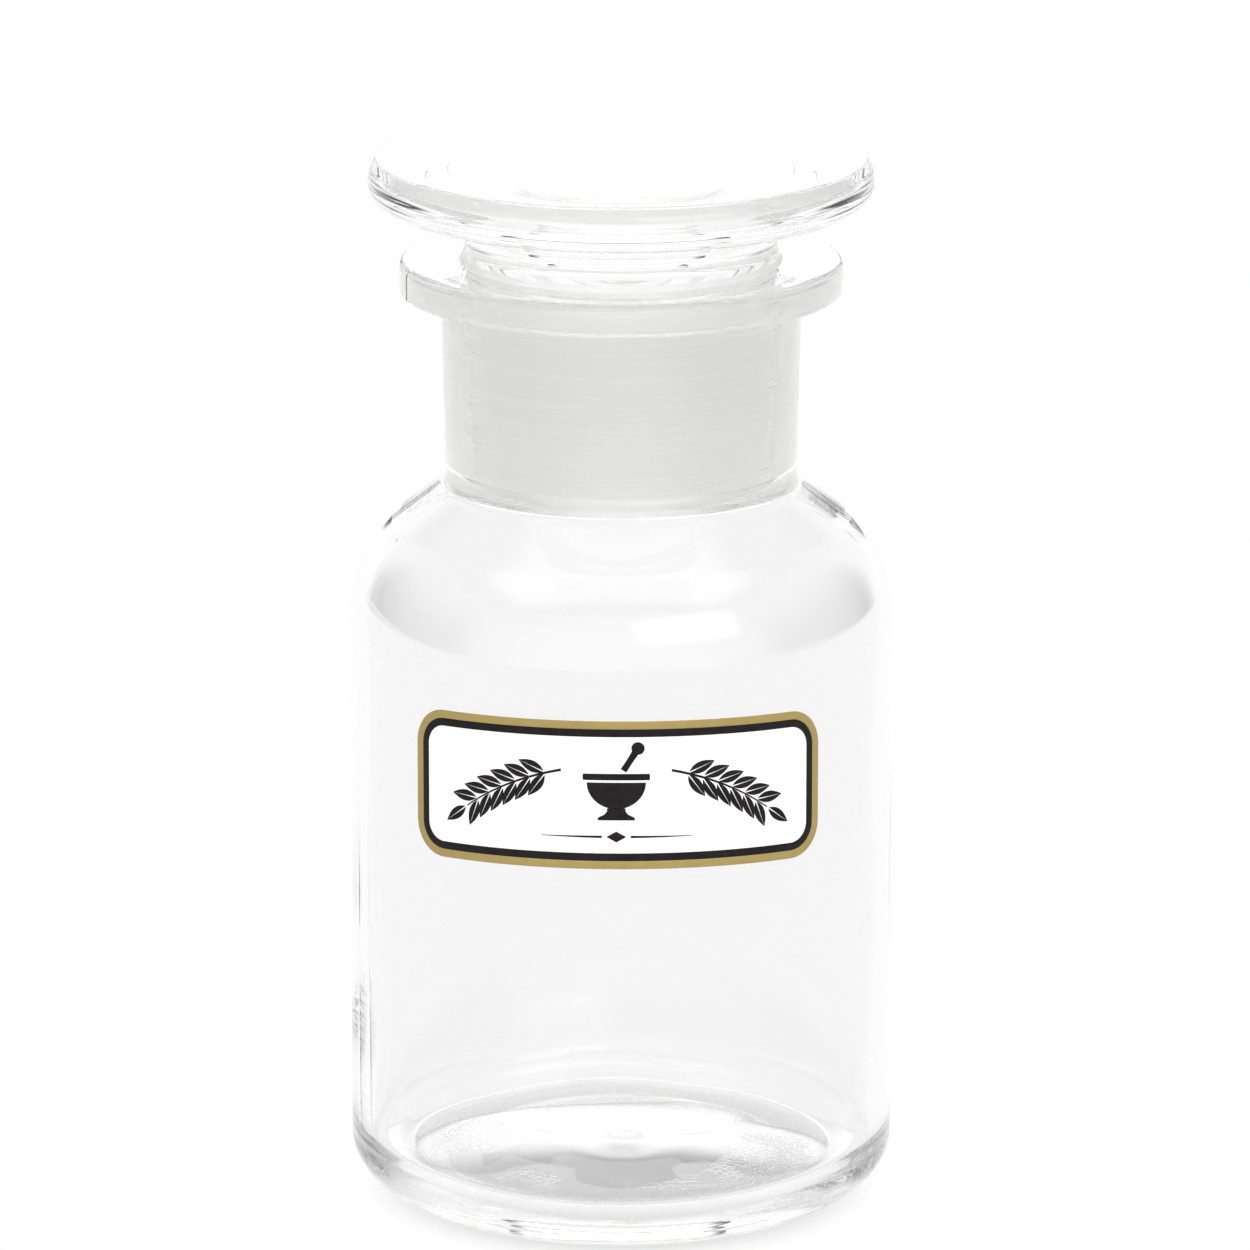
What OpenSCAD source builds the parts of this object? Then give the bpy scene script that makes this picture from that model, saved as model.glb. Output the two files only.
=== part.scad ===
// Apothecary jar: a wide-mouth glass bottle with a rolled flange, a hollow flat-headed stopper
// ground to fit its neck, and a bordered label on its front.
//
// The jar stands on z = 0 with its axis on Z. The label faces -Y.

/* [Body] */
// Outside diameter of the body
body_d = 70; // [68:0.5:76]
// Height where the straight side ends and the shoulder begins
side_top_z = 75.9; // [60:0.1:80]
// Thickness of the side wall
wall = 2.6; // [2:0.1:3]
// Thickness of the floor at its middle, above the push-up
floor_t = 4.4; // [3:0.1:6]
// Radial width of the rounded heel
heel_w = 10; // [7:0.1:11]
// Height of the rounded heel
heel_h = 7.6; // [5:0.1:9]
// Width of the flat ring that the jar stands on
rest_ring_w = 2.4; // [1:0.1:4]
// Height that the underside is pushed up at its middle
push_up = 2.4; // [0.5:0.1:3.5]

/* [Shoulder and neck] */
// Radial reach of the shoulder's curve
shoulder_rx = 12.45; // [11:0.05:13]
// Height of the shoulder's curve
shoulder_rz = 15.4; // [13:0.1:16]
// Angle that the shoulder's curve turns through before it runs straight to the neck
shoulder_sweep = 58; // [54:1:62]
// Radius of the hollow curve where the shoulder meets the neck
neck_fillet = 2.4; // [1:0.1:3]
// Outside diameter at the bottom of the neck
neck_d0 = 44.9; // [44:0.1:46]
// Outside diameter at the top of the neck, under the flange
neck_d1 = 45.9; // [45:0.1:47]

/* [Flange] */
// Outside diameter of the flange
flange_d = 56.4; // [52:0.1:60]
// Thickness of the flange
flange_t = 4.1; // [3:0.1:6]
// Height of the lip, the bottle's top face
lip_z = 123; // [120:0.5:126]
// Radial width of the flange's rounded top edge
lip_round_w = 1.3; // [0.5:0.1:2]
// Height of the flange's rounded top edge
lip_round_h = 0.9; // [0.3:0.1:1.5]

/* [Ground joint] */
// Diameter of the bore at the lip
joint_d = 40.6; // [39.6:0.1:41]
// Length of the joint for each millimetre that its diameter narrows
joint_taper = 10; // [9:1:12]
// Length of the plug below the lip
plug_len = 29.2; // [27:0.1:29.2]
// Clearance between plug and bore, on the radius
joint_gap = 0.06; // [0.02:0.01:0.1]

/* [Stopper] */
// Diameter of the stopper's head
head_d = 64.4; // [58:0.1:68]
// Height of the head's widest circle above the lip
head_mid_h = 9.8; // [9:0.1:11]
// Radial width of the head's rounded underside
head_under_w = 5.3; // [4:0.1:8]
// Height of the head's rounded underside
head_under_h = 3.2; // [2.5:0.1:4]
// Height of the head's upper edge above its widest circle
head_edge_h = 3.4; // [2:0.1:5]
// How far the head's upper edge lies inside its widest circle
head_edge_in = 0.9; // [0.4:0.1:2]
// Height of the gently domed top above the upper edge
head_dome = 0.7; // [0.3:0.1:2]
// Diameter of the waist between plug and head
waist_d = 40; // [38:0.1:40.4]
// Diameter of the plug's hollow at its mouth
hollow_d = 30.4; // [26:0.2:31]
// Depth of the plug's hollow
hollow_depth = 29; // [20:0.5:30]

/* [Label] */
// Width of the label, measured round the body
label_w = 56; // [46:0.5:60]
// Height of the label
label_h = 19.2; // [16:0.1:24]
// Height of the label's middle
label_z = 62; // [58:0.5:64]
// Radius of the label's corners
label_corner = 4.6; // [3:0.1:6]
// How far the label's ends lie lower than its middle
label_bow = 1; // [0:0.1:2]
// Width of the gold band round the edge
gold_w = 1.05; // [0.6:0.05:1.5]
// Width of the black line inside the gold band
line_w = 1; // [0.4:0.05:1.2]
// Thickness of the label
label_t = 0.2; // [0.15:0.01:0.4]
// Number of leaves along each side of a sprig
sprig_leaves = 6; // [4:1:8]

/* [Hidden] */
$fn = 96;

body_r = body_d / 2;
inner_r = body_r - wall;
lathe_steps = 12;          // straight stretches in each curve of a turned outline

// Bottle
heel_inner_r = 5;                                     // inside curve from wall to floor
shoulder_x = body_r - shoulder_rx;                    // radius of the shoulder curve's centre
rest_r = body_r - heel_w;                             // outer radius of the standing ring
push_up_r = rest_r - rest_ring_w;                     // radius where the push-up begins
floor_z = push_up + floor_t;                          // floor's height at its middle
floor_edge_z = floor_z - 2;                           // the floor falls towards the wall
flange_z = lip_z - flange_t;
flange_fillet = 0.6;                                  // hollow curve under the flange
joint_r = joint_d / 2;
lip_chamfer = 0.5;                                    // eased edge at the mouth

// Stopper
plug_z0 = lip_z - plug_len;
plug_tip_round = 1.2;
ground_above_lip = 0.8;                               // ground surface left proud of the bore
head_z = lip_z + head_mid_h;
head_r = head_d / 2;
head_edge_steep = 0.7;                                // share of the edge's height that is curved
hollow_draft = 1;                                     // radius that the hollow loses on its way up
hollow_dome = 5;                                      // height of the hollow's rounded end
waist_z = lip_z + 2;

// Label
ornament_t = 0.1;                                     // ink stands this far above the label
line_inset = gold_w;
field_inset = gold_w + line_w;
corner_steps = 8;
edge_steps = 12;                                      // stretches in each bowed edge
sprig_r = 34;                                         // radius of each sprig's arch
sprig_a0 = 13.5;                                      // angle to the sprig's thick end
sprig_a1 = 35.5;                                      // angle to its tip
sprig_top = 3.9;                                      // height of the arch at the middle
stem_w = 0.34;
stem_steps = 10;
leaf_l = 3.5;
leaf_w = 1.45;
leaf_turn = 38;                                       // leaves spread this far from the stem
mortar_w = 8.4;
mortar_h = 5.2;
mortar_v = -2.2;                                      // height of the bowl's foot
pestle_w = 0.84;
pestle_l = 3.4;
rule_v = -5.4;                                        // height of the rule

// Points on an ellipse's arc, with its centre, radii and end angles.
function arc(cx, cz, rx, rz, a0, a1, n = lathe_steps) =
    [for (i = [0 : n]) let (a = a0 + (a1 - a0) * i / n) [cx + rx * cos(a), cz + rz * sin(a)]];

// Radius of the ground bore at height z.
function bore_r(z) = joint_r - (lip_z - z) / (2 * joint_taper);

// Slope of a shoulder curve at its end, as the height gained for each millimetre inwards.
function end_slope(rx, rz) = rz * cos(shoulder_sweep) / (rx * sin(shoulder_sweep));

// The shoulder's outer curve, its straight run and the hollow curve into the neck.
outer_slope = end_slope(shoulder_rx, shoulder_rz);
outer_end = [shoulder_x + shoulder_rx * cos(shoulder_sweep),
             side_top_z + shoulder_rz * sin(shoulder_sweep)];
run_angle = atan(outer_slope);
fillet_x = neck_d0 / 2 + neck_fillet;
fillet_start_x = fillet_x - neck_fillet * sin(run_angle);
fillet_start_z = outer_end[1] + (outer_end[0] - fillet_start_x) * outer_slope;
fillet_z = fillet_start_z + neck_fillet * cos(run_angle);

// The shoulder's inner curve lies one wall inside the outer one.
inner_rx = shoulder_rx - wall;
inner_rz = shoulder_rz - wall;
inner_slope = end_slope(inner_rx, inner_rz);
inner_end = [shoulder_x + inner_rx * cos(shoulder_sweep),
             side_top_z + inner_rz * sin(shoulder_sweep)];
bore_z0 = plug_z0 + 0.2;                              // the bore begins just above the plug's tip

function bottle_outside() = concat(
    [for (i = [0 : lathe_steps]) let (s = i / lathe_steps)
        [push_up_r * s, push_up * (1 - s * s)]],
    arc(rest_r, heel_h, heel_w, heel_h, -90, 0),
    arc(shoulder_x, side_top_z, shoulder_rx, shoulder_rz, 0, shoulder_sweep),
    arc(fillet_x, fillet_z, neck_fillet, neck_fillet, 270 - run_angle, 180, 6),
    arc(neck_d1 / 2 + flange_fillet, flange_z - flange_fillet, flange_fillet, flange_fillet,
        180, 90, 4),
    [[flange_d / 2, flange_z]],
    arc(flange_d / 2 - lip_round_w, lip_z - lip_round_h, lip_round_w, lip_round_h, 0, 90, 6));

function bottle_inside() = concat(
    [[joint_r + lip_chamfer, lip_z], [bore_r(lip_z - lip_chamfer), lip_z - lip_chamfer],
     [bore_r(bore_z0), bore_z0]],
    arc(shoulder_x, side_top_z, inner_rx, inner_rz, shoulder_sweep, 0),
    arc(inner_r - heel_inner_r, floor_edge_z + heel_inner_r, heel_inner_r, heel_inner_r, 0, -90),
    [for (i = [lathe_steps - 1 : -1 : 0]) let (s = i / lathe_steps)
        [(inner_r - heel_inner_r) * s, floor_z - (floor_z - floor_edge_z) * s * s]]);

module bottle() {
    color([0.86, 0.91, 0.92, 0.45])
        rotate_extrude() polygon(concat(bottle_outside(), bottle_inside()));
}

// The plug rises from its rounded tip to just above the lip, the waist flares into the head, and
// the head ends in a gently domed top.
function stopper_outside() = concat(
    arc(bore_r(plug_z0) - joint_gap - plug_tip_round, plug_z0 + plug_tip_round,
        plug_tip_round, plug_tip_round, -90, 0, 5),
    [[bore_r(lip_z + ground_above_lip) - joint_gap, lip_z + ground_above_lip]],
    arc(head_r - head_under_w, waist_z, head_r - head_under_w - waist_d / 2,
        head_z - head_under_h - waist_z, 180, 90),
    arc(head_r - head_under_w, head_z, head_under_w, head_under_h, -85, 0),
    arc(head_r - head_edge_in, head_z, head_edge_in, head_edge_h * head_edge_steep, 15, 60, 4),
    [for (i = [0 : lathe_steps]) let (s = 1 - i / lathe_steps)
        [(head_r - head_edge_in) * s, head_z + head_edge_h + head_dome * (1 - s * s)]]);

// The hollow narrows on its way up and has a rounded end.
function hollow_outline() =
    let (r0 = hollow_d / 2, r1 = r0 - hollow_draft, z1 = plug_z0 + hollow_depth - hollow_dome)
    concat([[0, plug_z0 - 1], [r0, plug_z0 - 1], [r0, plug_z0]],
           arc(0, z1, r1, hollow_dome, 0, 90));

module stopper() {
    color([0.86, 0.91, 0.92, 0.45])
        rotate_extrude() difference() {
            polygon(concat([[0, plug_z0]], stopper_outside()));
            polygon(hollow_outline());
        }
}

// A point on the label, u round the body from the label's middle and v above its bowed middle line,
// seen from the front.
function wrapped(p) = [body_r * sin(p[0] / body_r * 180 / PI),
                       p[1] + label_z - label_bow * pow(2 * p[0] / label_w, 2)];

// The label's outline, drawn in from its edge by inset.
module label_outline(inset) {
    r = label_corner - inset;
    u = label_w / 2 - label_corner;
    v = label_h / 2 - label_corner;
    edge = [for (i = [1 : edge_steps - 1]) u * (1 - 2 * i / edge_steps)];
    top = concat(arc(u, v, r, r, 0, 90, corner_steps), [for (x = edge) [x, v + r]],
                 arc(-u, v, r, r, 90, 180, corner_steps));
    polygon([for (p = concat(top, -top)) wrapped(p)]);
}

// Lays a flat shape round the front of the body, from r0 outwards by t.
module wrap(r0, t) {
    intersection() {
        rotate([90, 0, 0]) linear_extrude(body_r + 5) children();
        translate([0, 0, label_z - label_h]) difference() {
            cylinder(h = 2 * label_h, r = r0 + t, $fn = 180);
            translate([0, 0, -1]) cylinder(h = 2 * label_h + 2, r = r0, $fn = 180);
        }
    }
}

module label_field() {
    color("white") wrap(body_r, label_t) label_outline(field_inset);
}

module label_black_line() {
    color([0.14, 0.12, 0.13]) wrap(body_r, label_t) difference() {
        label_outline(line_inset);
        label_outline(field_inset);
    }
}

module label_gold_band() {
    color([0.76, 0.65, 0.39]) wrap(body_r, label_t) difference() {
        label_outline(0);
        label_outline(line_inset);
    }
}

// Turns a flat point p by angle a about the origin and moves it to c.
function placed(p, c, a) =
    [c[0] + p[0] * cos(a) - p[1] * sin(a), c[1] + p[0] * sin(a) + p[1] * cos(a)];

// A pointed leaf of length l and width w that starts at c and points along angle a.
module leaf(c, a, l, w, n = 5) {
    half = [for (i = [0 : n]) [l * i / n, w / 2 * sin(180 * i / n)]];
    back = [for (i = [n - 1 : -1 : 1]) [l * i / n, -w / 2 * sin(180 * i / n)]];
    polygon([for (p = concat(half, back)) wrapped(placed(p, c, a))]);
}

// A point on a sprig's arch at angle a from the label's middle: side is 1 or -1.
function sprig_point(a, side, r = sprig_r) =
    [side * r * sin(a), sprig_top - sprig_r + r * cos(a)];

// A sprig that arches from the mortar's side out to the label's end. Its leaves stand in pairs, just
// clear of the stem, and one more ends it.
module sprig(side) {
    stem = [for (i = [0 : stem_steps]) sprig_a0 + (sprig_a1 - sprig_a0) * i / stem_steps];
    polygon([for (edge = [1, -1]) for (i = [0 : stem_steps])
        let (a = stem[edge > 0 ? i : stem_steps - i])
        wrapped(sprig_point(a, side, sprig_r + edge * stem_w / 2))]);
    for (i = [0 : sprig_leaves]) {
        a = sprig_a0 + (sprig_a1 - sprig_a0) * (i + 0.5) / (sprig_leaves + 0.5);
        along = side > 0 ? -a : 180 + a;
        for (turn = i == sprig_leaves ? [0] : [leaf_turn, -leaf_turn]) {
            start = placed([stem_w, 0], sprig_point(a, side), along + turn);
            leaf(start, along + turn, leaf_l, leaf_w);
        }
    }
}

// The mortar: a round bowl under a rim band, on a flared foot.
module mortar() {
    w = mortar_w / 2;
    h = mortar_h;
    translate([0, label_z + mortar_v]) {
        polygon(arc(0, h * 0.74, w * 0.88, h * 0.66, 180, 360, 12));
        translate([-w, h * 0.8]) square([mortar_w, h * 0.16]);
        polygon([[-w * 0.56, -h * 0.2], [w * 0.56, -h * 0.2], [w * 0.3, h * 0.2],
                 [-w * 0.3, h * 0.2]]);
    }
}

// The pestle leans out of the mortar.
module pestle() {
    translate([0.9, label_z + mortar_v + mortar_h * 1.04]) rotate(-32) {
        translate([-pestle_w / 2, 0]) square([pestle_w, pestle_l]);
        translate([0, pestle_l]) circle(d = 2 * pestle_w, $fn = 24);
    }
}

// A thin rule with a lozenge at its middle, under the mortar.
module rule() {
    v = label_z + rule_v;
    for (side = [-1, 1])
        polygon([[side * 1.7, v + 0.14], [side * 9, v + 0.04], [side * 9, v - 0.04],
                 [side * 1.7, v - 0.14]]);
    polygon([[1.1, v], [0, v + 0.7], [-1.1, v], [0, v - 0.7]]);
}

module label_ornament() {
    color([0.14, 0.12, 0.13]) wrap(body_r + label_t, ornament_t) {
        sprig(1);
        sprig(-1);
        mortar();
        pestle();
        rule();
    }
}

bottle();
stopper();
label_field();
label_black_line();
label_gold_band();
label_ornament();
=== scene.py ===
"""Apothecary jar: clear glass bottle, ground-in flat-headed stopper and wrapped label.

Every size is in millimetres and turned into metres where a mesh is made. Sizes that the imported
model knows are read from it; the rest follow the same rules as the model's source.
"""

import math

import bpy
import numpy as np
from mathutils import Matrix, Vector


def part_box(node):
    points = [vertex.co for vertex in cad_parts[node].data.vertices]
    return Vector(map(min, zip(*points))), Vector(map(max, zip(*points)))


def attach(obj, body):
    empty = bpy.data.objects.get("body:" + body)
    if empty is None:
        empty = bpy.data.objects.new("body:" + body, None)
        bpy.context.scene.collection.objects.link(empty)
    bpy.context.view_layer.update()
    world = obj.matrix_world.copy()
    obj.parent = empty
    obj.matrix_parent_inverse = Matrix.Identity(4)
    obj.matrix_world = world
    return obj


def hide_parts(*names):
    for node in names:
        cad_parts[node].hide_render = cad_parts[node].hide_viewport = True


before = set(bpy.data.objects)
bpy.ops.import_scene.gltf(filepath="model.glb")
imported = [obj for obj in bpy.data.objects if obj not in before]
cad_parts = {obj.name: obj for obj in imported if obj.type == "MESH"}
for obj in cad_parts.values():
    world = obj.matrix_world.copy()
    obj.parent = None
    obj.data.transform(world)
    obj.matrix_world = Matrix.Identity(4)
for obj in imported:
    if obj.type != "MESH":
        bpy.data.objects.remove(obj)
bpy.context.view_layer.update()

MM = 0.001

# ---------------------------------------------------------------- sizes from the frame


def box_mm(node):
    low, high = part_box(node)
    return np.array(low) / MM, np.array(high) / MM


bottle_low, bottle_high = box_mm("bottle")
stopper_low, stopper_high = box_mm("stopper")
label_low, label_high = box_mm("label_gold_band")

BODY_R = bottle_high[0]
LIP_Z = bottle_high[2]
HEAD_R = stopper_high[0]
HEAD_TOP = stopper_high[2]
PLUG_Z0 = stopper_low[2]
LABEL_H = 19.2
LABEL_Z = label_high[2] - LABEL_H / 2

# ---------------------------------------------------------------- sizes of the glass

WALL = 2.6
SIDE_TOP_Z = 75.9
HEEL_W, HEEL_H = 10.0, 7.6
REST_RING_W = 2.4
PUSH_UP = 2.4
FLOOR_Z = PUSH_UP + 4.4
FLOOR_EDGE_Z = FLOOR_Z - 2.0
HEEL_INNER_R = 5.0

SHOULDER_RX, SHOULDER_RZ = 12.45, 15.4
SHOULDER_SWEEP = math.radians(58)
NECK_FILLET = 2.4
NECK_R0, NECK_R1 = 22.45, 22.95

FLANGE_R = 28.2
FLANGE_Z = LIP_Z - 4.1
FLANGE_FILLET = 0.6
FLANGE_EDGE_R = 0.35
LIP_ROUND_W, LIP_ROUND_H = 1.3, 0.9
LIP_EASE = 0.5

JOINT_R = 20.3
JOINT_TAPER = 10.0
JOINT_GAP = 0.06

GROUND_ABOVE_LIP = 0.8
GROUND_Z0 = PLUG_Z0 + 2.5  # the bore is ground down to here, and the plug reaches past it
FLARE_W, FLARE_H = 1.2, 1.5
FLARE_SWEEP = 0.9          # radians of the round below the ground bore
WAIST_R = 20.0
WAIST_Z = LIP_Z + 2.0
HEAD_Z = LIP_Z + 9.8
HEAD_UNDER_W, HEAD_UNDER_H = 5.3, 3.2
HEAD_EDGE_IN, HEAD_EDGE_H = 0.9, 3.4
RIM_ROUND_W, RIM_ROUND_H = 0.75, 0.35
RIM_ROUND_IN = 0.7         # the rim's round has its centre this far inside its radius
HEAD_TOP_IN = 1.0          # and the domed top begins this far inside it
PLUG_TIP_ROUND = 1.2
PLUG_MOUTH_ROUND = 0.8
HOLLOW_R0, HOLLOW_R1 = 15.2, 14.2
HOLLOW_TOP = PLUG_Z0 + 29.0
HOLLOW_DOME = 5.0

SEAM_AZIMUTH = math.radians(-73)   # mould seam, measured from the label's middle towards +X
SEAM_HALF_WIDTH = 0.3

SEGMENTS = 288
SEAM_STEPS = [0.0, 0.1, 0.2, 0.32, 0.46, 0.65, 0.9]   # columns beside each seam, degrees

# ---------------------------------------------------------------- outlines

CLEAR, GROUND = 0, 1
QUARTER = math.pi / 2


def arc(cx, cz, rx, rz, a0, a1, n=16):
    """Points on an ellipse's arc, its end angles in radians."""
    return [(cx + rx * math.cos(a), cz + rz * math.sin(a)) for a in np.linspace(a0, a1, n + 1)]


def bore_r(z):
    return JOINT_R - (LIP_Z - z) / (2 * JOINT_TAPER)


def shoulder(inset):
    """The shoulder's curve drawn in by inset, and the slope that it ends at."""
    rx, rz = SHOULDER_RX - inset, SHOULDER_RZ - inset
    curve = arc(BODY_R - SHOULDER_RX, SIDE_TOP_Z, rx, rz, 0, SHOULDER_SWEEP, 24)
    slope = rz * math.cos(SHOULDER_SWEEP) / (rx * math.sin(SHOULDER_SWEEP))
    return curve, slope


def bottle_outline():
    """From the middle of the underside, up the outside, over the lip and down the inside.

    Each stretch is its points, its finish and the name of the relief on it.
    """
    rest_r = BODY_R - HEEL_W
    push_up_r = rest_r - REST_RING_W
    push_up = [(push_up_r * s, PUSH_UP * (1 - s * s)) for s in np.linspace(0, 1, 25)]
    heel = arc(rest_r, HEEL_H, HEEL_W, HEEL_H, -QUARTER, 0, 24)
    outer, slope = shoulder(0)
    run = math.atan(slope)
    fillet_x = NECK_R0 + NECK_FILLET
    start_x = fillet_x - NECK_FILLET * math.sin(run)
    start_z = outer[-1][1] + (outer[-1][0] - start_x) * slope
    fillet_z = start_z + NECK_FILLET * math.cos(run)
    neck = arc(fillet_x, fillet_z, NECK_FILLET, NECK_FILLET, 3 * QUARTER - run, math.pi, 10)
    under = arc(NECK_R1 + FLANGE_FILLET, FLANGE_Z - FLANGE_FILLET, FLANGE_FILLET, FLANGE_FILLET,
                math.pi, QUARTER, 6)
    edge = arc(FLANGE_R - FLANGE_EDGE_R, FLANGE_Z + FLANGE_EDGE_R, FLANGE_EDGE_R, FLANGE_EDGE_R,
               -QUARTER, 0, 6)
    lip = arc(FLANGE_R - LIP_ROUND_W, LIP_Z - LIP_ROUND_H, LIP_ROUND_W, LIP_ROUND_H,
              0, QUARTER, 10)
    ease = arc(JOINT_R + LIP_EASE, LIP_Z - LIP_EASE, LIP_EASE, LIP_EASE, QUARTER, math.pi, 6)
    bore = [(bore_r(LIP_Z - LIP_EASE), LIP_Z - LIP_EASE), (bore_r(GROUND_Z0), GROUND_Z0)]
    flare = arc(bore_r(GROUND_Z0) + FLARE_W, GROUND_Z0, FLARE_W, FLARE_H,
                math.pi, math.pi + FLARE_SWEEP, 8)
    inner, _ = shoulder(WALL)
    inner_r = BODY_R - WALL
    corner = arc(inner_r - HEEL_INNER_R, FLOOR_EDGE_Z + HEEL_INNER_R, HEEL_INNER_R, HEEL_INNER_R,
                 0, -QUARTER, 16)
    floor = [((inner_r - HEEL_INNER_R) * s, FLOOR_Z - (FLOOR_Z - FLOOR_EDGE_Z) * s * s)
             for s in np.linspace(1, 0, 25)]
    return [(push_up, CLEAR, "under"), (heel + outer + neck, CLEAR, "outside"),
            (under + edge + lip + ease, CLEAR, "flange"), (bore, GROUND, "fit"),
            (flare + inner[::-1] + corner, CLEAR, "inside"), (floor, CLEAR, "floor")]


def stopper_outline():
    """From the top of the hollow to its mouth, up the outside and in over the head."""
    bend_z = HOLLOW_TOP - HOLLOW_DOME
    hollow = arc(0, bend_z, HOLLOW_R1, HOLLOW_DOME, QUARTER, 0, 20)
    mouth = arc(HOLLOW_R0 + PLUG_MOUTH_ROUND, PLUG_Z0 + PLUG_MOUTH_ROUND, PLUG_MOUTH_ROUND,
                PLUG_MOUTH_ROUND, math.pi, 3 * QUARTER, 8)
    tip_r = bore_r(PLUG_Z0) - JOINT_GAP
    tip = arc(tip_r - PLUG_TIP_ROUND, PLUG_Z0 + PLUG_TIP_ROUND, PLUG_TIP_ROUND, PLUG_TIP_ROUND,
              -QUARTER, 0, 10)
    ground_top = LIP_Z + GROUND_ABOVE_LIP
    ground = [tip[-1], (bore_r(ground_top) - JOINT_GAP, ground_top)]
    under_x = HEAD_R - HEAD_UNDER_W
    waist = arc(under_x, WAIST_Z, under_x - WAIST_R, HEAD_Z - HEAD_UNDER_H - WAIST_Z,
                math.pi, QUARTER, 20)
    side = arc(under_x, HEAD_Z, HEAD_UNDER_W, HEAD_UNDER_H, math.radians(-88), 0, 20)
    rim_r = HEAD_R - HEAD_EDGE_IN
    rim_z = HEAD_Z + HEAD_EDGE_H
    edge = arc(rim_r, HEAD_Z, HEAD_EDGE_IN, HEAD_EDGE_H * 0.8,
               math.radians(10), math.radians(65), 8)
    rim = arc(rim_r - RIM_ROUND_IN, rim_z - RIM_ROUND_H, RIM_ROUND_W, RIM_ROUND_H,
              math.radians(10), QUARTER, 6)
    dome = HEAD_TOP - rim_z
    top = [((rim_r - HEAD_TOP_IN) * s, rim_z + dome * (1 - s ** 3))
           for s in np.linspace(1, 0, 25)]
    return [(hollow, CLEAR, "hollow"), (mouth + tip, CLEAR, "fit"), (ground, GROUND, "fit"),
            (waist + side + edge + rim + top, CLEAR, "head")]


def dense(points, step):
    """The same outline with no stretch longer than step and no point twice."""
    out = [points[0]]
    for a, b in zip(points[:-1], points[1:]):
        length = math.dist(a, b)
        if length < 1e-4:
            continue
        n = math.ceil(length / step)
        out += [(a[0] + (b[0] - a[0]) * i / n, a[1] + (b[1] - a[1]) * i / n)
                for i in range(1, n + 1)]
    return out


def joined(outline, step=1.0):
    """An outline's points, the relief at each, and the finish of each step between them."""
    points, reliefs, finish = [outline[0][0][0]], [outline[0][2]], []
    for stretch, kind, relief in outline:
        made = dense([points[-1]] + stretch, step)[1:]
        points += made
        reliefs += [relief] * len(made)
        finish += [kind] * len(made)
    return points, reliefs, finish


# ---------------------------------------------------------------- relief of pressed glass


def waves(angle, z, terms):
    """A sum of slow waves; each term is height, count round the axis, phase per mm, phase."""
    return sum(a * np.sin(n * angle + k * z + p) for a, n, k, p in terms)


def smooth_step(x, low, high):
    t = np.clip((x - low) / (high - low), 0, 1)
    return t * t * (3 - 2 * t)


def seam_ridge(angle, r, height):
    """How far the mould seams stand out at each angle, on a circle of radius r."""
    total = 0
    for half in (0, 1):
        away = np.mod(angle - SEAM_AZIMUTH - half * math.pi + math.pi, 2 * math.pi) - math.pi
        total = total + height * np.exp(-((away * max(r, 1) / SEAM_HALF_WIDTH) ** 2))
    return total


SEAM_H, FLANGE_SEAM_H = 0.01, 0.1
HEAD_RIDGE_H, HEAD_RIDGE_W = 0.05, 0.3   # a fine ridge round the head's widest part
# These reliefs are drawn in a little, so that their crests stay within the part's size.
OUTSIDE_IN, FLANGE_IN, HEAD_IN = 0.04, 0.02, 0.07
OUTSIDE_WAVES = [(0.02, 2, 0.05, 0.4), (0.015, 3, -0.11, 1.9), (0.008, 7, 0.16, 0.3)]
INSIDE_WAVES = [(0.11, 2, 0.03, 2.1), (0.08, 3, -0.06, 0.7), (0.05, 5, 0.09, 4.0),
                (0.025, 9, -0.15, 1.2)]
HEAD_WAVES = [(0.03, 2, 0.1, 0.9), (0.015, 3, 0.2, 2.2), (0.004, 8, 0.4, 0.1)]
# Shallow dents and swellings of the floor: x, y, half width and height.
FLOOR_DENTS = [(-11, -9, 6.5, 0.26), (12, -8, 5.5, 0.22), (1, -15, 6, -0.2), (-17, 4, 5, -0.2),
               (18, 3, 4.5, 0.2), (2, 9, 9, 0.16), (-5, 19, 6, -0.16), (9, 20, 5, 0.14)]


def relief(kind, angle, r, z):
    """(outwards, upwards) shift of a turned surface at each angle."""
    none = np.zeros_like(angle)
    if kind == "outside":
        lift = smooth_step(z, 1, 12)
        return (waves(angle, z, OUTSIDE_WAVES) * lift - OUTSIDE_IN
                + seam_ridge(angle, r, SEAM_H) * lift), none
    if kind == "flange":
        ridge = seam_ridge(angle, r, FLANGE_SEAM_H) * smooth_step(r, NECK_R1, FLANGE_R)
        return ridge - FLANGE_IN, none
    if kind == "inside":
        fade = smooth_step(PLUG_Z0 - z, 0.5, 9)
        return waves(angle, z, INSIDE_WAVES) * fade * smooth_step(z, 4, 14), none
    if kind == "floor":
        x, y = r * np.sin(angle), -r * np.cos(angle)
        up = sum(h * np.exp(-((x - dx) ** 2 + (y - dy) ** 2) / w ** 2)
                 for dx, dy, w, h in FLOOR_DENTS)
        return none, up * smooth_step(BODY_R - WALL - HEEL_INNER_R - r, 0, 5)
    if kind == "under":
        ripple = 0.015 * math.cos(r * 0.9) * smooth_step(20 - r, 0, 8)
        return none, none + ripple
    if kind == "head":
        lift = smooth_step(r, WAIST_R, HEAD_R - 4)
        height = HEAD_RIDGE_H if r > HEAD_R - 2 else 0
        ridge = height * math.exp(-((z - HEAD_Z) / HEAD_RIDGE_W) ** 2)
        out = (waves(angle, z, HEAD_WAVES) - HEAD_IN) * lift + ridge
        return np.where(r > 1, out, 0), none
    if kind == "hollow":
        return waves(angle, z, INSIDE_WAVES) * 0.6 * min(1, r / 8), none
    return none, none


# ---------------------------------------------------------------- making pieces


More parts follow.
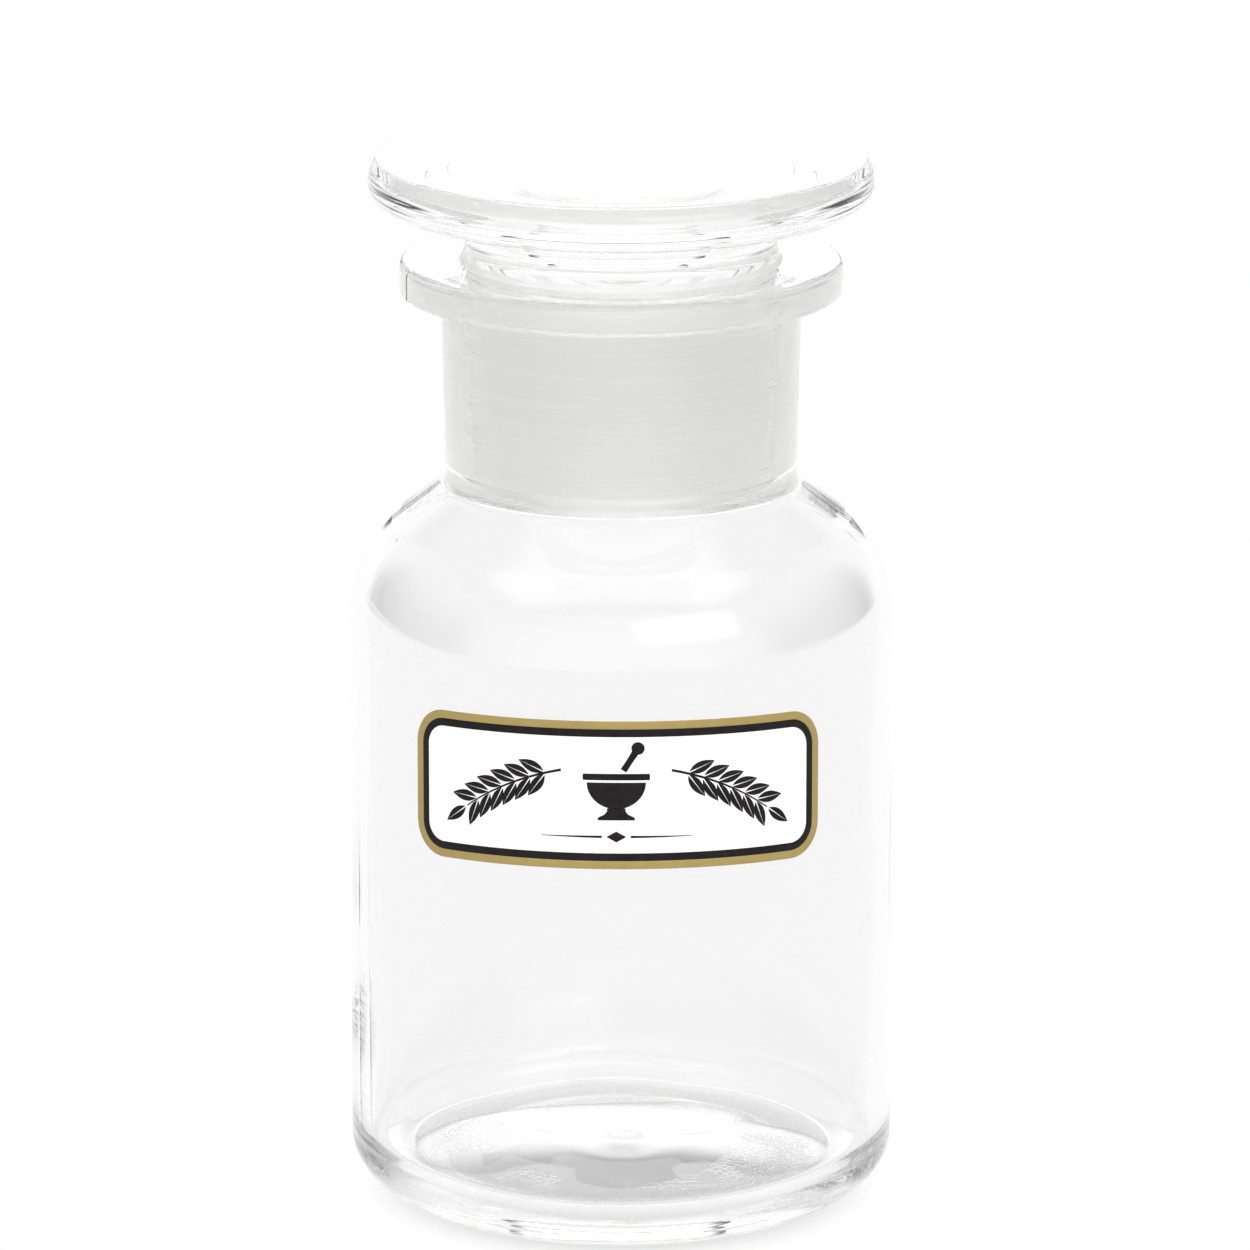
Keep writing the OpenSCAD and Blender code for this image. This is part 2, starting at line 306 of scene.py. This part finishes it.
def new_piece(name, verts, faces, body, node, slot, materials, kinds=None):
    """A mesh object in the frame, from points in millimetres."""
    mesh = bpy.data.meshes.new(name)
    mesh.from_pydata([tuple(v) for v in np.asarray(verts) * MM], [], faces)
    for material in materials:
        mesh.materials.append(material)
    if kinds is not None:
        mesh.polygons.foreach_set("material_index", kinds)
    mesh.polygons.foreach_set("use_smooth", [True] * len(mesh.polygons))
    mesh.update()
    piece = bpy.data.objects.new(name, mesh)
    bpy.context.scene.collection.objects.link(piece)
    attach(piece, body)
    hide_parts(node)
    return piece


def columns():
    """Angles of a turned mesh's columns: even, and close together beside the mould seams."""
    even = list(np.arange(SEGMENTS) * 2 * math.pi / SEGMENTS)
    near = [SEAM_AZIMUTH + half * math.pi + side * math.radians(d)
            for half in (0, 1) for d in SEAM_STEPS for side in (-1, 1)]
    return np.unique(np.round(np.mod(np.array(even + near), 2 * math.pi), 5))


def turned(name, outline, body, node, slot, materials):
    """A closed mesh turned about Z, with its outline's relief."""
    points, reliefs, finish = joined(outline)
    angle = columns()
    rings, m = len(points) - 2, len(angle)
    verts = []
    for (r, z), kind in zip(points[1:-1], reliefs[1:-1]):
        out, up = relief(kind, angle, r, z)
        verts.append(np.column_stack([(r + out) * np.sin(angle), -(r + out) * np.cos(angle),
                                      z + up]))
    centre = np.zeros(1)
    poles = [(0, 0, points[i][1] + relief(reliefs[i], centre, 0, points[i][1])[1][0])
             for i in (0, -1)]
    verts = np.concatenate(verts + [poles])
    faces, kinds = [], []
    for j in range(m):
        k = (j + 1) % m
        faces.append((rings * m, k, j))
        kinds.append(finish[0])
        for i in range(rings - 1):
            a, b = i * m, (i + 1) * m
            faces.append((a + j, a + k, b + k, b + j))
            kinds.append(finish[i + 1])
        last = (rings - 1) * m
        faces.append((last + j, last + k, rings * m + 1))
        kinds.append(finish[-1])
    return new_piece(name, verts, faces, body, node, slot, materials, kinds)


# ---------------------------------------------------------------- label

LABEL_W = 56.0
LABEL_CORNER = 4.6
LABEL_BOW = 1.0            # the label's ends lie this much lower than its middle
GOLD_W = 1.05
LINE_W = 1.0
SHEET_GAP = 0.03           # the sheet lies this far off the glass
SHEET_T = 0.12
GOLD_T, LINE_T, INK_T = 0.045, 0.035, 0.03
SHEET_R = BODY_R + SHEET_GAP


def slab(grid, base_r, heights, closed=False):
    """Points and faces of a thin closed solid laid round the body.

    grid holds (u, v) points in rows and columns: u is the distance round the body from the
    label's middle, v the height above it. heights is the solid's thickness at each point.
    closed joins the last row to the first.
    """
    rows, cols = grid.shape[:2]
    angle = grid[..., 0] / BODY_R
    z = LABEL_Z + grid[..., 1] - LABEL_BOW * (2 * grid[..., 0] / LABEL_W) ** 2
    layers = []
    for r in (base_r + heights, np.full_like(heights, base_r)):
        layers.append(np.stack([r * np.sin(angle), -r * np.cos(angle), z], -1).reshape(-1, 3))
    n = rows * cols
    faces = []
    for i in range(rows if closed else rows - 1):
        for j in range(cols - 1):
            a, b = i * cols + j, (i + 1) % rows * cols + j
            faces.append((a, b, b + 1, a + 1))
            faces.append((n + a + 1, n + b + 1, n + b, n + a))
        for j in (0, cols - 1):
            a, b = i * cols + j, (i + 1) % rows * cols + j
            faces.append((a, n + a, n + b, b) if j == 0 else (b, n + b, n + a, a))
    if not closed:
        for i in (0, rows - 1):
            for j in range(cols - 1):
                a = i * cols + j
                faces.append((a + 1, n + a + 1, n + a, a) if i == 0
                             else (a, n + a, n + a + 1, a + 1))
    return np.concatenate(layers), faces


def gathered(slabs):
    """Several solids as one list of points and one of faces."""
    verts, faces, first = [], [], 0
    for v, f in slabs:
        verts.append(v)
        faces += [tuple(first + i for i in face) for face in f]
        first += len(v)
    return np.concatenate(verts), faces


def label_edge(inset):
    """The label's outline drawn in by inset, counter-clockwise, evenly divided."""
    r = LABEL_CORNER - inset
    u, v = LABEL_W / 2 - LABEL_CORNER, LABEL_H / 2 - LABEL_CORNER
    out = []
    corners = [(u, v, 0), (-u, v, 1), (-u, -v, 2), (u, -v, 3)]
    for i, (cu, cv, quarter) in enumerate(corners):
        out += arc(cu, cv, r, r, quarter * QUARTER, (quarter + 1) * QUARTER, 14)
        nu, nv, nq = corners[(i + 1) % 4]
        start = out[-1]
        end = (nu + r * math.cos(nq * QUARTER), nv + r * math.sin(nq * QUARTER))
        steps = 64 if i in (0, 2) else 14
        out += [(start[0] + (end[0] - start[0]) * s / steps,
                 start[1] + (end[1] - start[1]) * s / steps) for s in range(1, steps)]
    return np.array(out)


def band(inset, width, base_r, thickness, across=6):
    """A printed band that follows the label's edge, with softly rounded sides."""
    outer, inner = label_edge(inset), label_edge(inset + width)
    s = (1 - np.cos(np.linspace(0, math.pi, across + 1))) / 2
    grid = outer[:, None] * (1 - s)[None, :, None] + inner[:, None] * s[None, :, None]
    rise = thickness * (1 - 0.65 * np.abs(2 * s - 1) ** 6)
    return slab(grid, base_r, np.repeat(rise[None], len(outer), 0), closed=True)


def sheet(inset, base_r, thickness, rows=97, cols=15):
    """The label's own sheet, a rounded rectangle."""
    r, half_w, half_h = LABEL_CORNER - inset, LABEL_W / 2 - inset, LABEL_H / 2 - inset
    edge = [half_w - r + r * math.cos(a) for a in np.linspace(0, QUARTER, 12)]
    u = np.concatenate([-np.array(edge), np.linspace(-half_w + r, half_w - r, rows)[1:-1],
                        edge[::-1]])
    past = np.clip(np.abs(u) - (half_w - r), 0, r)
    top = half_h - r + np.sqrt(np.maximum(r * r - past ** 2, 0))
    s = np.linspace(-1, 1, cols)
    grid = np.stack([np.repeat(u[:, None], cols, 1), top[:, None] * s[None]], -1)
    grid = grid[:, ::-1]
    return slab(grid, base_r, np.full(grid.shape[:2], thickness))


def strip(spine, half_widths, base_r, thickness, across=4):
    """A printed stroke along a line of (u, v) points, with a width at each point."""
    spine = np.array(spine, float)
    along = np.gradient(spine, axis=0)
    along /= np.linalg.norm(along, axis=1)[:, None]
    normal = np.stack([-along[:, 1], along[:, 0]], -1)
    s = np.linspace(1, -1, across + 1)
    grid = spine[:, None] + normal[:, None] * (np.array(half_widths)[:, None] * s[None])[..., None]
    rise = thickness * (1 - 0.5 * np.abs(s) ** 4)
    return slab(grid, base_r, np.repeat(rise[None], len(spine), 0))


# The ornament: a mortar and pestle between two arching sprigs, over a rule with a lozenge.
SPRIG_R, SPRIG_TOP = 34.0, 3.9
SPRIG_A0, SPRIG_A1 = math.radians(13.5), math.radians(35.5)
SPRIG_LEAVES = 6
STEM_W = 0.34
LEAF_L, LEAF_W = 3.5, 1.45
LEAF_TURN = math.radians(38)
MORTAR_W, MORTAR_H, MORTAR_V = 8.4, 5.2, -2.2
PESTLE_W, PESTLE_L, PESTLE_LEAN = 0.84, 3.4, math.radians(32)
RULE_V = -5.4


def sprig_point(a, side):
    return np.array([side * SPRIG_R * math.sin(a), SPRIG_TOP - SPRIG_R + SPRIG_R * math.cos(a)])


def leaf(start, angle, base_r):
    """A pointed leaf in two halves, with its midrib left clear between them."""
    t = np.linspace(0, 1, 13)
    along = np.array([math.cos(angle), math.sin(angle)])
    across = np.array([-along[1], along[0]])
    half = LEAF_W / 2 * np.sin(math.pi * t ** 0.85) ** 0.9
    midrib = 0.07 * (1 - t)
    made = []
    for side in (1, -1):
        width = np.maximum(half - midrib, 0.03)
        middle = (midrib + width / 2) * side
        spine = start + np.outer(LEAF_L * t, along) + np.outer(middle, across)
        made.append(strip(spine, width / 2, base_r, INK_T, across=2))
    return made


def sprig(side, base_r):
    stem_angles = np.linspace(SPRIG_A0 - 0.03, SPRIG_A1, 25)
    width = np.linspace(STEM_W, STEM_W * 0.5, len(stem_angles)) / 2
    made = [strip([sprig_point(a, side) for a in stem_angles], width, base_r, INK_T, across=2)]
    for i in range(SPRIG_LEAVES + 1):
        a = SPRIG_A0 + (SPRIG_A1 - SPRIG_A0) * (i + 0.5) / (SPRIG_LEAVES + 0.5)
        along = -a if side > 0 else math.pi + a
        for turn in [0] if i == SPRIG_LEAVES else [LEAF_TURN, -LEAF_TURN]:
            angle = along + turn
            offset = STEM_W * np.array([math.cos(angle), math.sin(angle)])
            made += leaf(sprig_point(a, side) + offset, angle, base_r)
    return made


def upright(profile, base_r, across):
    """A shape the same on both sides of the middle, from (half width, height) points."""
    widths, heights = np.array(profile).T
    spine = np.stack([np.zeros_like(heights), heights + MORTAR_V], -1)
    return strip(spine, widths, base_r, INK_T, across)


def mortar(base_r):
    w, h = MORTAR_W / 2, MORTAR_H
    bowl = [(w * 0.88 * math.cos(a), h * (0.74 - 0.66 * math.sin(a)))
            for a in np.linspace(math.radians(78), 0, 12)]
    foot = [(w * 0.56, -h * 0.2), (w * 0.54, -h * 0.13), (w * 0.36, -h * 0.06),
            (w * 0.28, h * 0.02), (w * 0.27, h * 0.1)]
    rim = [(w * 0.98, h * 0.8), (w, h * 0.83), (w, h * 0.93), (w * 0.98, h * 0.96)]
    return [upright(foot + bowl, base_r, 14), upright(rim, base_r, 16)]


def pestle(base_r):
    start = np.array([0.9, MORTAR_V + MORTAR_H * 1.04])
    along = np.array([math.sin(PESTLE_LEAN), math.cos(PESTLE_LEAN)])
    reach = [0, 0.3, 0.6, 0.8] + [1 + 0.24 * math.sin(a) for a in np.linspace(-0.7, 1.5, 9)]
    knob = [0.42, 0.4, 0.42, 0.46] + [PESTLE_W * math.cos(a) for a in np.linspace(-0.7, 1.5, 9)]
    spine = [start + along * PESTLE_L * s for s in reach]
    return [strip(spine, knob, base_r, INK_T)]


def rule(base_r):
    made = []
    for side in (-1, 1):
        u = np.linspace(1.8, 9.5, 12) * side
        spine = np.stack([u, np.full_like(u, RULE_V)], -1)
        made.append(strip(spine, np.linspace(0.16, 0.04, 12), base_r, INK_T, across=2))
    u = np.linspace(-1.2, 1.2, 9)
    spine = np.stack([u, np.full_like(u, RULE_V)], -1)
    made.append(strip(spine, 0.03 + 0.68 * (1 - np.abs(u) / 1.2), base_r, INK_T, across=2))
    return made


# ---------------------------------------------------------------- materials


class Tree:
    """A node tree, with short ways to add and join its nodes."""

    def __init__(self, tree):
        self.tree = tree

    def add(self, kind, **settings):
        node = self.tree.nodes.new(kind)
        for key, value in settings.items():
            setattr(node, key, value)
        return node

    def link(self, output, node, socket):
        self.tree.links.new(output, node.inputs[socket])

    def put(self, value, node, socket):
        """Set a socket to a number, or link another node's output to it."""
        if isinstance(value, (int, float)):
            node.inputs[socket].default_value = value
        else:
            self.link(value, node, socket)

    def ranged(self, value, low, high, to_low, to_high):
        """A smooth step from to_low, where value is low, to to_high, where it is high."""
        node = self.add("ShaderNodeMapRange", interpolation_type="SMOOTHSTEP")
        self.link(value, node, "Value")
        for socket, number in zip(("From Min", "From Max", "To Min", "To Max"),
                                  (low, high, to_low, to_high)):
            node.inputs[socket].default_value = number
        return node.outputs["Result"]

    def math(self, operation, a, b):
        node = self.add("ShaderNodeMath", operation=operation)
        self.put(a, node, 0)
        self.put(b, node, 1)
        return node.outputs[0]

    def product(self, first, *others):
        for other in others:
            first = self.math("MULTIPLY", first, other)
        return first


class Nodes(Tree):
    """A material's node tree, with its Principled shader's plain values set by name."""

    def __init__(self, name, **values):
        self.material = bpy.data.materials.new(name)
        self.material.use_nodes = True
        super().__init__(self.material.node_tree)
        self.shader = self.tree.nodes["Principled BSDF"]
        for key, value in values.items():
            self.shader.inputs[key.replace("_", " ")].default_value = value
        self.place = self.add("ShaderNodeTexCoord").outputs["Object"]

    def stretched(self, x, y, z):
        """The object's coordinates, with this many features for each metre."""
        node = self.add("ShaderNodeVectorMath", operation="MULTIPLY")
        self.link(self.place, node, 0)
        node.inputs[1].default_value = (x, y, z)
        return node.outputs[0]

    def noise(self, place, detail=3.0, roughness=0.5):
        node = self.add("ShaderNodeTexNoise")
        self.link(place, node, "Vector")
        node.inputs["Scale"].default_value = 1.0
        node.inputs["Detail"].default_value = detail
        node.inputs["Roughness"].default_value = roughness
        return node.outputs["Fac"]

    def length(self, place):
        node = self.add("ShaderNodeVectorMath", operation="LENGTH")
        self.link(place, node, 0)
        return node.outputs["Value"]

    def axes(self):
        """The object's coordinates one by one, as outputs X, Y and Z."""
        node = self.add("ShaderNodeSeparateXYZ")
        self.link(self.place, node, 0)
        return node.outputs

    def colours(self, value, stops):
        node = self.add("ShaderNodeValToRGB")
        ramp = node.color_ramp
        while len(ramp.elements) < len(stops):
            ramp.elements.new(0.5)
        for element, (position, colour) in zip(ramp.elements, stops):
            element.position = position
            element.color = (*colour, 1)
        self.link(value, node, "Fac")
        return node.outputs["Color"]

    def bump(self, height, distance_mm, strength=1.0, normal=None):
        node = self.add("ShaderNodeBump")
        node.inputs["Strength"].default_value = strength
        node.inputs["Distance"].default_value = distance_mm * MM
        self.link(height, node, "Height")
        if normal is not None:
            self.link(normal, node, "Normal")
        return node.outputs["Normal"]

    def set(self, socket, output):
        self.link(output, self.shader, socket)


GLASS_IOR = 1.51
STIPPLE_FADE_IN = (13.5 * MM, 16.0 * MM)    # radii of the stippled ring under the base
STIPPLE_FADE_OUT = (23.5 * MM, 25.0 * MM)
STIPPLE_TOP = (2.6 * MM, 3.2 * MM)
FOOT_SCUFF_TOP = (0.1 * MM, 0.6 * MM)


def stippling(m, height):
    """Fine pits in patches, on a ring of the underside."""
    pits = m.ranged(m.noise(m.stretched(1500, 1500, 1500), 1), 0.42, 0.6, 0, 1)
    patches = m.ranged(m.noise(m.stretched(75, 75, 75), 1), 0.42, 0.56, 0, 1)
    reach = m.length(m.stretched(1, 1, 0))
    return m.product(pits, m.ranged(reach, *STIPPLE_FADE_IN, 0, 1),
                     m.ranged(reach, *STIPPLE_FADE_OUT, 1, 0),
                     m.ranged(height, *STIPPLE_TOP, 1, 0), patches)


def clear_glass():
    """Fire-polished glass: a faint orange peel, dull smudges, and a stippled, scuffed foot."""
    m = Nodes("jar_clear_glass", Base_Color=(0.946, 0.949, 0.946, 1), IOR=GLASS_IOR,
              Transmission_Weight=1.0)
    height = m.axes()["Z"]
    peel = m.noise(m.stretched(420, 420, 420), 2)
    flow = m.noise(m.stretched(70, 70, 45), 1)
    relief_in = m.bump(peel, 0.0012, 1.0, m.bump(flow, 0.008))
    m.set("Normal", m.bump(stippling(m, height), 0.1, 1.0, relief_in))
    smudge = m.ranged(m.noise(m.stretched(90, 90, 60), 4, 0.6), 0.5, 0.8, 0.0, 0.03)
    scratch = m.noise(m.stretched(2600, 2600, 2600), 2)
    scuff = m.product(m.ranged(height, *FOOT_SCUFF_TOP, 1, 0),
                      m.ranged(scratch, 0.4, 0.65, 0.05, 0.4))
    m.set("Roughness", m.math("ADD", smudge, scuff))
    return m.material


def ground_glass():
    """Glass ground matt: fine grain, with the grinder's lines running round it."""
    m = Nodes("jar_ground_glass", IOR=GLASS_IOR, Transmission_Weight=1.0)
    lines = m.noise(m.stretched(28, 28, 2600), 3, 0.65)
    deep = m.noise(m.stretched(22, 22, 700), 2)
    grain = m.noise(m.stretched(5200, 5200, 5200), 2)
    scored = m.ranged(deep, 0.6, 0.72, 0, 1)
    relief_in = m.bump(grain, 0.004, 1.0, m.bump(lines, 0.008))
    m.set("Normal", m.bump(scored, 0.02, 1.0, relief_in))
    m.set("Roughness", m.ranged(lines, 0.3, 0.7, 0.7, 0.85))
    m.set("Base Color", m.colours(lines, [(0.35, (0.875, 0.872, 0.862)),
                                          (0.65, (0.935, 0.932, 0.924))]))
    return m.material


def label_white():
    m = Nodes("jar_label_white")
    m.set("Base Color", m.colours(m.noise(m.stretched(260, 260, 260), 4),
                                  [(0.3, (0.92, 0.92, 0.912)), (0.7, (0.955, 0.955, 0.95))]))
    fibre = m.noise(m.stretched(1500, 1500, 3200), 3)
    m.set("Normal", m.bump(fibre, 0.004, 0.6))
    m.set("Roughness", m.ranged(fibre, 0.3, 0.7, 0.36, 0.48))
    return m.material


def label_black():
    m = Nodes("jar_label_black", Specular_IOR_Level=0.12)
    blot = m.noise(m.stretched(900, 900, 900), 4)
    m.set("Base Color", m.colours(blot, [(0.3, (0.009, 0.007, 0.008)),
                                         (0.75, (0.015, 0.013, 0.014))]))
    m.set("Roughness", m.ranged(blot, 0.3, 0.7, 0.3, 0.42))
    m.set("Normal", m.bump(m.noise(m.stretched(2500, 2500, 2500), 2), 0.003, 0.6))
    return m.material


def label_gold():
    m = Nodes("jar_label_gold", Metallic=0.15)
    blot = m.noise(m.stretched(700, 700, 700), 4, 0.6)
    m.set("Base Color", m.colours(blot, [(0.25, (0.34, 0.25, 0.075)),
                                         (0.75, (0.385, 0.287, 0.092))]))
    m.set("Roughness", m.ranged(blot, 0.3, 0.7, 0.34, 0.46))
    m.set("Normal", m.bump(m.noise(m.stretched(2800, 2800, 2800), 2), 0.003, 0.6))
    return m.material


def floor_white():
    """A pale table that glows evenly, with a painted shadow under the jar where its glow is lower.
    """
    m = Nodes("studio_floor_white", Base_Color=(0.06, 0.06, 0.06, 1), Roughness=0.9,
              Specular_IOR_Level=0.0)
    m.shader.inputs["Emission Color"].default_value = (1, 1, 1, 1)
    # painted shadow: the glow is lowest under the jar and rises to full at the body's edge
    glow = m.ranged(m.length(m.place), PAINTED_SHADOW_INNER * BODY_R * MM, BODY_R * MM,
                    PAINTED_SHADOW_GLOW, FLOOR_GLOW)
    m.set("Emission Strength", glow)
    m.set("Normal", m.bump(m.noise(m.stretched(300, 300, 300), 2), 0.01, 0.2))
    return m.material


def panel_white():
    """The diffuser of the panel light, fading out upwards and sideways and dim at its foot."""
    m = Nodes("studio_panel_white", Base_Color=(0, 0, 0, 1), Roughness=1.0)
    m.shader.inputs["Emission Color"].default_value = (1, 1, 1, 1)
    place = m.axes()
    across = m.math("ABSOLUTE", place["X"], 0)
    lit = m.product(m.ranged(across, PANEL_CORE * PANEL_HALF_W * MM, PANEL_HALF_W * MM,
                             PANEL_GLOW, 0),
                    m.ranged(place["Z"], PANEL_Z0 * MM, PANEL_FULL_Z * MM, PANEL_FOOT, 1),
                    m.ranged(place["Z"], PANEL_FADE_Z * MM, PANEL_Z1 * MM, 1, 0))
    m.set("Emission Strength", lit)
    return m.material


# ---------------------------------------------------------------- studio

FLOOR_GLOW = 0.94
PAINTED_SHADOW_GLOW = 0.56         # painted shadow: the table's lower glow under the jar
PAINTED_SHADOW_INNER = 0.6         # share of the body's radius out to which the painted shadow is no brighter
PANEL_Y = 1600             # a panel light behind the jar, which its flat tops mirror
PANEL_HALF_W = 520
PANEL_CORE = 0.7           # share of its half width that has the full glow
PANEL_Z0, PANEL_FULL_Z, PANEL_FADE_Z, PANEL_Z1 = 60, 420, 520, 900
PANEL_GLOW = 2.4
PANEL_FOOT = 0.15          # share of the glow that is left at the panel's lower edge
FLOOR_R = 1150
FLOOR_DROP = 0.1           # the floor lies this far under the jar's foot ring
ROOM = 1.05                # brightness of the room, low down
FRONT = 0.45               # how much brighter it is on the camera's side
SKY = 0.88                 # brightness overhead
CARD = 0.02                # brightness of the dark cards to the left and right
# Where each of those begins and ends, as parts of a direction's unit vector.
SKY_UP = (0.3, 0.8)
FRONT_DEPTH = (-0.9, -0.5)
CARD_ASIDE, CARD_UP, CARD_DEPTH = (0.62, 0.8), (0.05, 0.65), (-0.55, -0.2)
# Softboxes: azimuth (0 in front, 90 towards +X), elevation, half width and half height as
# tangents, how far each fades at its edge, and brightness.
SOFTBOXES = [(0, 78, 0.78, 0.36, 0.16, 1.0), (32, 29, 0.37, 0.19, 0.08, 1.7)]


def make_floor():
    """A round, pale studio table."""
    rings, spokes = [0.0, 150, 400, 750, FLOOR_R], 96
    verts, faces = [(0, 0, -FLOOR_DROP)], []
    for r in rings[1:]:
        verts += [(r * math.cos(a), r * math.sin(a), -FLOOR_DROP)
                  for a in np.arange(spokes) * 2 * math.pi / spokes]
    for j in range(spokes):
        k = (j + 1) % spokes
        faces.append((0, 1 + j, 1 + k))
        for i in range(len(rings) - 2):
            a, b = 1 + i * spokes, 1 + (i + 1) * spokes
            faces.append((a + j, b + j, b + k, a + k))
    mesh = bpy.data.meshes.new("studio_floor")
    mesh.from_pydata([tuple(v) for v in np.array(verts) * MM], [], faces)
    mesh.materials.append(floor_white())
    floor = bpy.data.objects.new("studio_floor", mesh)
    bpy.context.scene.collection.objects.link(floor)


def make_panel():
    """A tall diffuser behind the jar, out of the camera's sight."""
    w = PANEL_HALF_W
    corners = [(-w, PANEL_Y, PANEL_Z0), (w, PANEL_Y, PANEL_Z0), (w, PANEL_Y, PANEL_Z1),
               (-w, PANEL_Y, PANEL_Z1)]
    mesh = bpy.data.meshes.new("studio_panel")
    mesh.from_pydata([tuple(v) for v in np.array(corners) * MM], [], [(0, 1, 2, 3)])
    mesh.materials.append(panel_white())
    panel = bpy.data.objects.new("studio_panel", mesh)
    panel.visible_camera = False
    bpy.context.scene.collection.objects.link(panel)


class Surroundings(Tree):
    """The world's node tree, whose brightness depends on the direction alone."""

    def __init__(self):
        world = bpy.data.worlds.new("studio")
        bpy.context.scene.world = world
        world.use_nodes = True
        super().__init__(world.node_tree)
        self.direction = self.add("ShaderNodeTexCoord").outputs["Generated"]

    def along(self, axis):
        node = self.add("ShaderNodeVectorMath", operation="DOT_PRODUCT")
        self.link(self.direction, node, 0)
        node.inputs[1].default_value = axis
        return node.outputs["Value"]

    def mixed(self, share, first, second):
        node = self.add("ShaderNodeMix")
        for socket, value in (("Factor", share), ("A", first), ("B", second)):
            self.put(value, node, socket)
        return node.outputs["Result"]

    def softbox(self, azimuth, elevation, half_w, half_h, fade, strength):
        a, e = math.radians(azimuth), math.radians(elevation)
        centre = Vector((math.sin(a) * math.cos(e), -math.cos(a) * math.cos(e), math.sin(e)))
        right = Vector((math.cos(a), math.sin(a), 0))
        towards = self.math("MAXIMUM", self.along(centre), 0.05)
        share = strength
        for axis, half in ((right, half_w), (centre.cross(right), half_h)):
            offset = self.math("DIVIDE", self.math("ABSOLUTE", self.along(axis), 0), towards)
            share = self.product(share, self.ranged(offset, half - fade, half + fade, 1, 0))
        return share


def make_world():
    """A white studio with dark cards to the left and right, which draw the glass's edges."""
    w = Surroundings()
    aside = w.math("ABSOLUTE", w.along((1, 0, 0)), 0)
    depth, up = w.along((0, 1, 0)), w.along((0, 0, 1))
    room = w.math("ADD", w.ranged(up, *SKY_UP, ROOM, SKY), w.ranged(depth, *FRONT_DEPTH, FRONT, 0))
    card = w.product(w.ranged(aside, *CARD_ASIDE, 0, 1), w.ranged(up, *CARD_UP, 1, 0),
                     w.ranged(depth, *CARD_DEPTH, 0, 1))
    lit = w.mixed(card, room, CARD)
    for box in SOFTBOXES:
        lit = w.math("ADD", lit, w.softbox(*box))
    seen = w.add("ShaderNodeLightPath").outputs["Is Camera Ray"]
    shade = w.tree.nodes["Background"]
    w.link(w.mixed(seen, lit, 1.0), shade, "Strength")
    shade.inputs["Color"].default_value = (1, 1, 1, 1)


BOUNCES = 80               # light runs far round inside a curved glass wall
CAMERA_DISTANCE = 1150     # along the floor
CAMERA_HEIGHT = 382.3
CAMERA_AZIMUTH = math.radians(1)
AIM_Z = 74.64
AIM_RIGHT = 0.49           # the view's middle lies this far to the right of the jar's axis
PICTURE_W = 1250
PICTURE_SCALE = 7.80       # picture elements for each millimetre at the jar's axis


def make_camera():
    data = bpy.data.cameras.new("camera")
    camera = bpy.data.objects.new("camera", data)
    right = Vector((math.cos(CAMERA_AZIMUTH), math.sin(CAMERA_AZIMUTH), 0))
    place = Vector((math.sin(CAMERA_AZIMUTH) * CAMERA_DISTANCE,
                    -math.cos(CAMERA_AZIMUTH) * CAMERA_DISTANCE, CAMERA_HEIGHT))
    aim = Vector((0, 0, AIM_Z)) + right * AIM_RIGHT
    data.lens = data.sensor_width * PICTURE_SCALE * (aim - place).length / PICTURE_W
    camera.location = place * MM
    camera.rotation_euler = (place - aim).to_track_quat("Z", "Y").to_euler()
    data.clip_start, data.clip_end = 0.05, 20
    bpy.context.scene.collection.objects.link(camera)
    bpy.context.scene.camera = camera


# ---------------------------------------------------------------- the jar

glass = [clear_glass(), ground_glass()]
turned("bottle_glass", bottle_outline(), "bottle", "bottle", "clear_glass", glass)
turned("stopper_glass", stopper_outline(), "stopper", "stopper", "clear_glass", glass)

ink_r = SHEET_R + SHEET_T
new_piece("label_sheet", *sheet(0, SHEET_R, SHEET_T), "bottle", "label_field", "label_white",
          [label_white()])
new_piece("label_gold_print", *band(0, GOLD_W, ink_r, GOLD_T), "bottle", "label_gold_band",
          "label_gold", [label_gold()])
black = label_black()
new_piece("label_line_print", *band(GOLD_W, LINE_W, ink_r, LINE_T), "bottle",
          "label_black_line", "label_black", [black])
ornament = sprig(1, ink_r) + sprig(-1, ink_r) + mortar(ink_r) + pestle(ink_r) + rule(ink_r)
new_piece("label_ornament_print", *gathered(ornament), "bottle", "label_ornament",
          "label_black", [black])

make_floor()
make_panel()
make_world()
make_camera()

scene = bpy.context.scene
scene.view_settings.view_transform = "Standard"
scene.cycles.max_bounces = BOUNCES
scene.cycles.transmission_bounces = BOUNCES
scene.cycles.glossy_bounces = BOUNCES
scene.cycles.blur_glossy = 0.0           # filtering would lose light inside the ground glass
